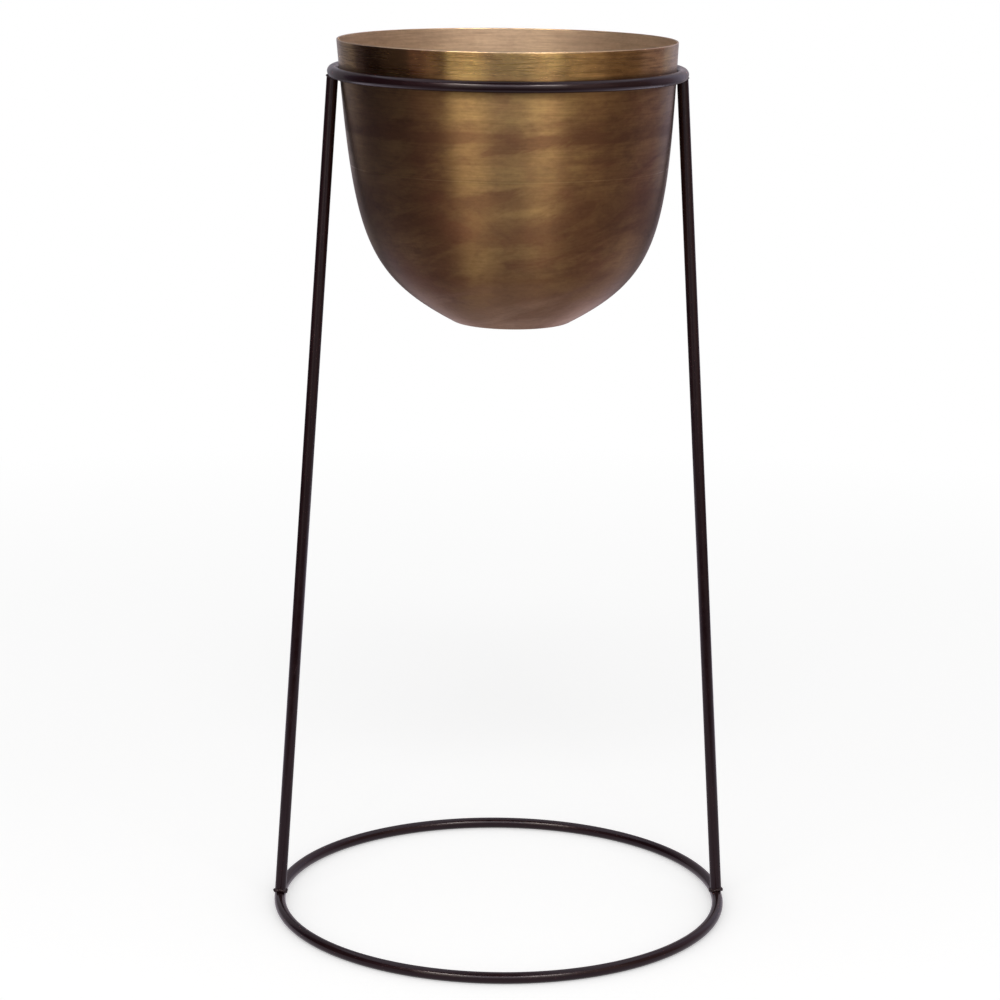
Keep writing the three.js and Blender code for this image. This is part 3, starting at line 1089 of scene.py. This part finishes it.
for name, side in (("left_soft_box", -26), ("right_soft_box", 26)):
    soft_box(name, side, distance=2.4, height=0.9, width=0.9, tall=1.8, watts=9.0)
soft_box("high_soft_box", 0, distance=1.7, height=2.2, width=1.0, tall=0.34, watts=7.0)

# %% [markdown]
# ## What the metal shows
# Metal looks like whatever is round it. A studio for metal therefore has cards of plain colour on
# every side, just out of the picture. Here they form one ring of panels: the floor, a wall, and the
# ceiling. Only reflections see them. They light nothing and throw no shadow. The panels at the soft
# boxes are bright and those at the left are nearly black, which gives the bowl its two bands and
# its dark flank. Each panel has its own colour, and each level of it has a share of that colour,
# from a dim floor to the bright top of the wall. The floor close by and the ceiling have colours of
# their own.

# %% Cards round the stand
PANEL_STEP = 4
WALL, CEILING, JUST_OVER_THE_FLOOR = 2.6, 2.8, 0.002
LEVELS = [(distance, JUST_OVER_THE_FLOOR) for distance in (0.0, 0.4, 1.0, WALL)]
LEVELS += [(WALL, height) for height in (0.6, 1.2, 2.0, CEILING)]
LEVELS.append((0.0, CEILING))
LAMP_SHARES = (0.0, 0.0, 0.20, 0.34, 0.86, 1.15, 8.2, 0.0)
MIDDLE_SHARES = (0.0, 0.0, 0.22, 0.36, 1.0, 2.2, 3.0, 0.0)
BACK_SHARES = (0.0, 0.0, 0.5, 0.85, 1.0, 1.0, 1.0, 0.0)
LAMPS_REACH = ((-50, -20), (12, 40))
UNDER_THE_BOWL = (0.64, 0.58, 0.65)
FRONT_CEILING = (0.12, 0.13, 0.15)
BACK_CEILING = (1.00, 0.98, 1.10)
DIM_FLOOR, PALE_FLOOR = 0.04, (0.90, 0.82, 0.96)
DIM_FLOOR_REACH, FLOOR_FADE = 30, 90
LEFT_FLOOR, RIGHT_FLOOR = 1.08, 1.30
PANELS = (
    (-180, (0.42, 0.39, 0.44)),
    (-152, (0.36, 0.33, 0.36)),
    (-124, (0.11, 0.09, 0.14)),
    (-112, (0.03, 0.02, 0.03)),
    (-92, (0.06, 0.04, 0.05)),
    (-68, (0.25, 0.150, 0.18)),
    (-54, (0.42, 0.29, 0.30)),
    (-38, (2.45, 2.32, 2.04)),
    (-16, (1.36, 1.34, 1.44)),
    (-4, (1.20, 1.18, 1.22)),
    (4, (1.40, 1.37, 1.42)),
    (16, (2.35, 2.22, 2.05)),
    (36, (0.92, 0.76, 0.68)),
    (52, (0.78, 0.60, 0.52)),
    (68, (0.38, 0.265, 0.225)),
    (84, (0.34, 0.235, 0.21)),
    (100, (0.52, 0.395, 0.475)),
    (128, (0.60, 0.55, 0.68)),
    (152, (0.52, 0.45, 0.50)),
)


def panel_colour(azimuth):
    return [colour for start, colour in PANELS if start <= azimuth][-1]


def floor_colour(azimuth):
    """The floor a step away from the stand: dim in front, where the camera stands, pale behind."""
    turned_away = min(max((abs(azimuth) - DIM_FLOOR_REACH) / FLOOR_FADE, 0.0), 1.0)
    side = RIGHT_FLOOR if azimuth > 0 else LEFT_FLOOR
    return [DIM_FLOOR + part * turned_away * side for part in PALE_FLOOR]


corners, faces, colours = [], [], []
turns = range(-180, 180, PANEL_STEP)
for azimuth in turns:
    corners += [round_the_stand(azimuth, distance, height) for distance, height in LEVELS]
for turn, azimuth in enumerate(turns):
    here, there = turn * len(LEVELS), (turn + 1) % len(turns) * len(LEVELS)
    middle = azimuth + PANEL_STEP / 2
    wall = panel_colour(middle)
    in_front = LAMPS_REACH[0][0] < azimuth < LAMPS_REACH[1][1]
    shares = MIDDLE_SHARES if in_front else BACK_SHARES
    if any(start < azimuth < end for start, end in LAMPS_REACH):
        shares = LAMP_SHARES
    flats = [[part * level_share for part in wall] for level_share in shares]
    flats[0], flats[1] = UNDER_THE_BOWL, floor_colour(middle)
    flats[-1] = FRONT_CEILING if in_front else BACK_CEILING
    for level, flat in enumerate(flats):
        faces.append((here + level, there + level, there + level + 1, here + level + 1))
        colours += [*flat, 1.0]
card_mesh = bpy.data.meshes.new("studio_cards")
card_mesh.from_pydata(corners, [], faces)
painted = card_mesh.attributes.new("card_colour", "FLOAT_COLOR", "FACE")
painted.data.foreach_set("color", colours)
cards = placed("studio_cards", card_mesh)
for kind in ("camera", "diffuse", "shadow", "transmission", "volume_scatter"):
    setattr(cards, f"visible_{kind}", False)
cards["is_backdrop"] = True

card_paint = bpy.data.materials.new("card_paint")
card_paint.use_nodes = True
card_paint.cycles.emission_sampling = "NONE"
tree = card_paint.node_tree
flat = add(tree, "ShaderNodeAttribute", attribute_name="card_colour").outputs["Color"]
paint = add(tree, "ShaderNodeEmission", {"Color": flat, "Strength": 1.0})
tree.links.new(paint.outputs[0], tree.nodes["Material Output"].inputs["Surface"])
card_mesh.materials.append(card_paint)
print(f"{len(PANELS)} panels in {len(faces)} faces")

# %% [markdown]
# ## Colour and sizes
# The Standard view keeps each colour as it was written. The last lines print the size of the
# dressed stand and that of the construction.

# %% Sizes and finish
bpy.context.scene.view_settings.view_transform = "Standard"
dressed_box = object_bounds()
for name, (low, high) in (("construction", construction_box), ("dressed", dressed_box)):
    print(f"{name}: {[round(v / MM, 2) for v in low]} to {[round(v / MM, 2) for v in high]} mm")
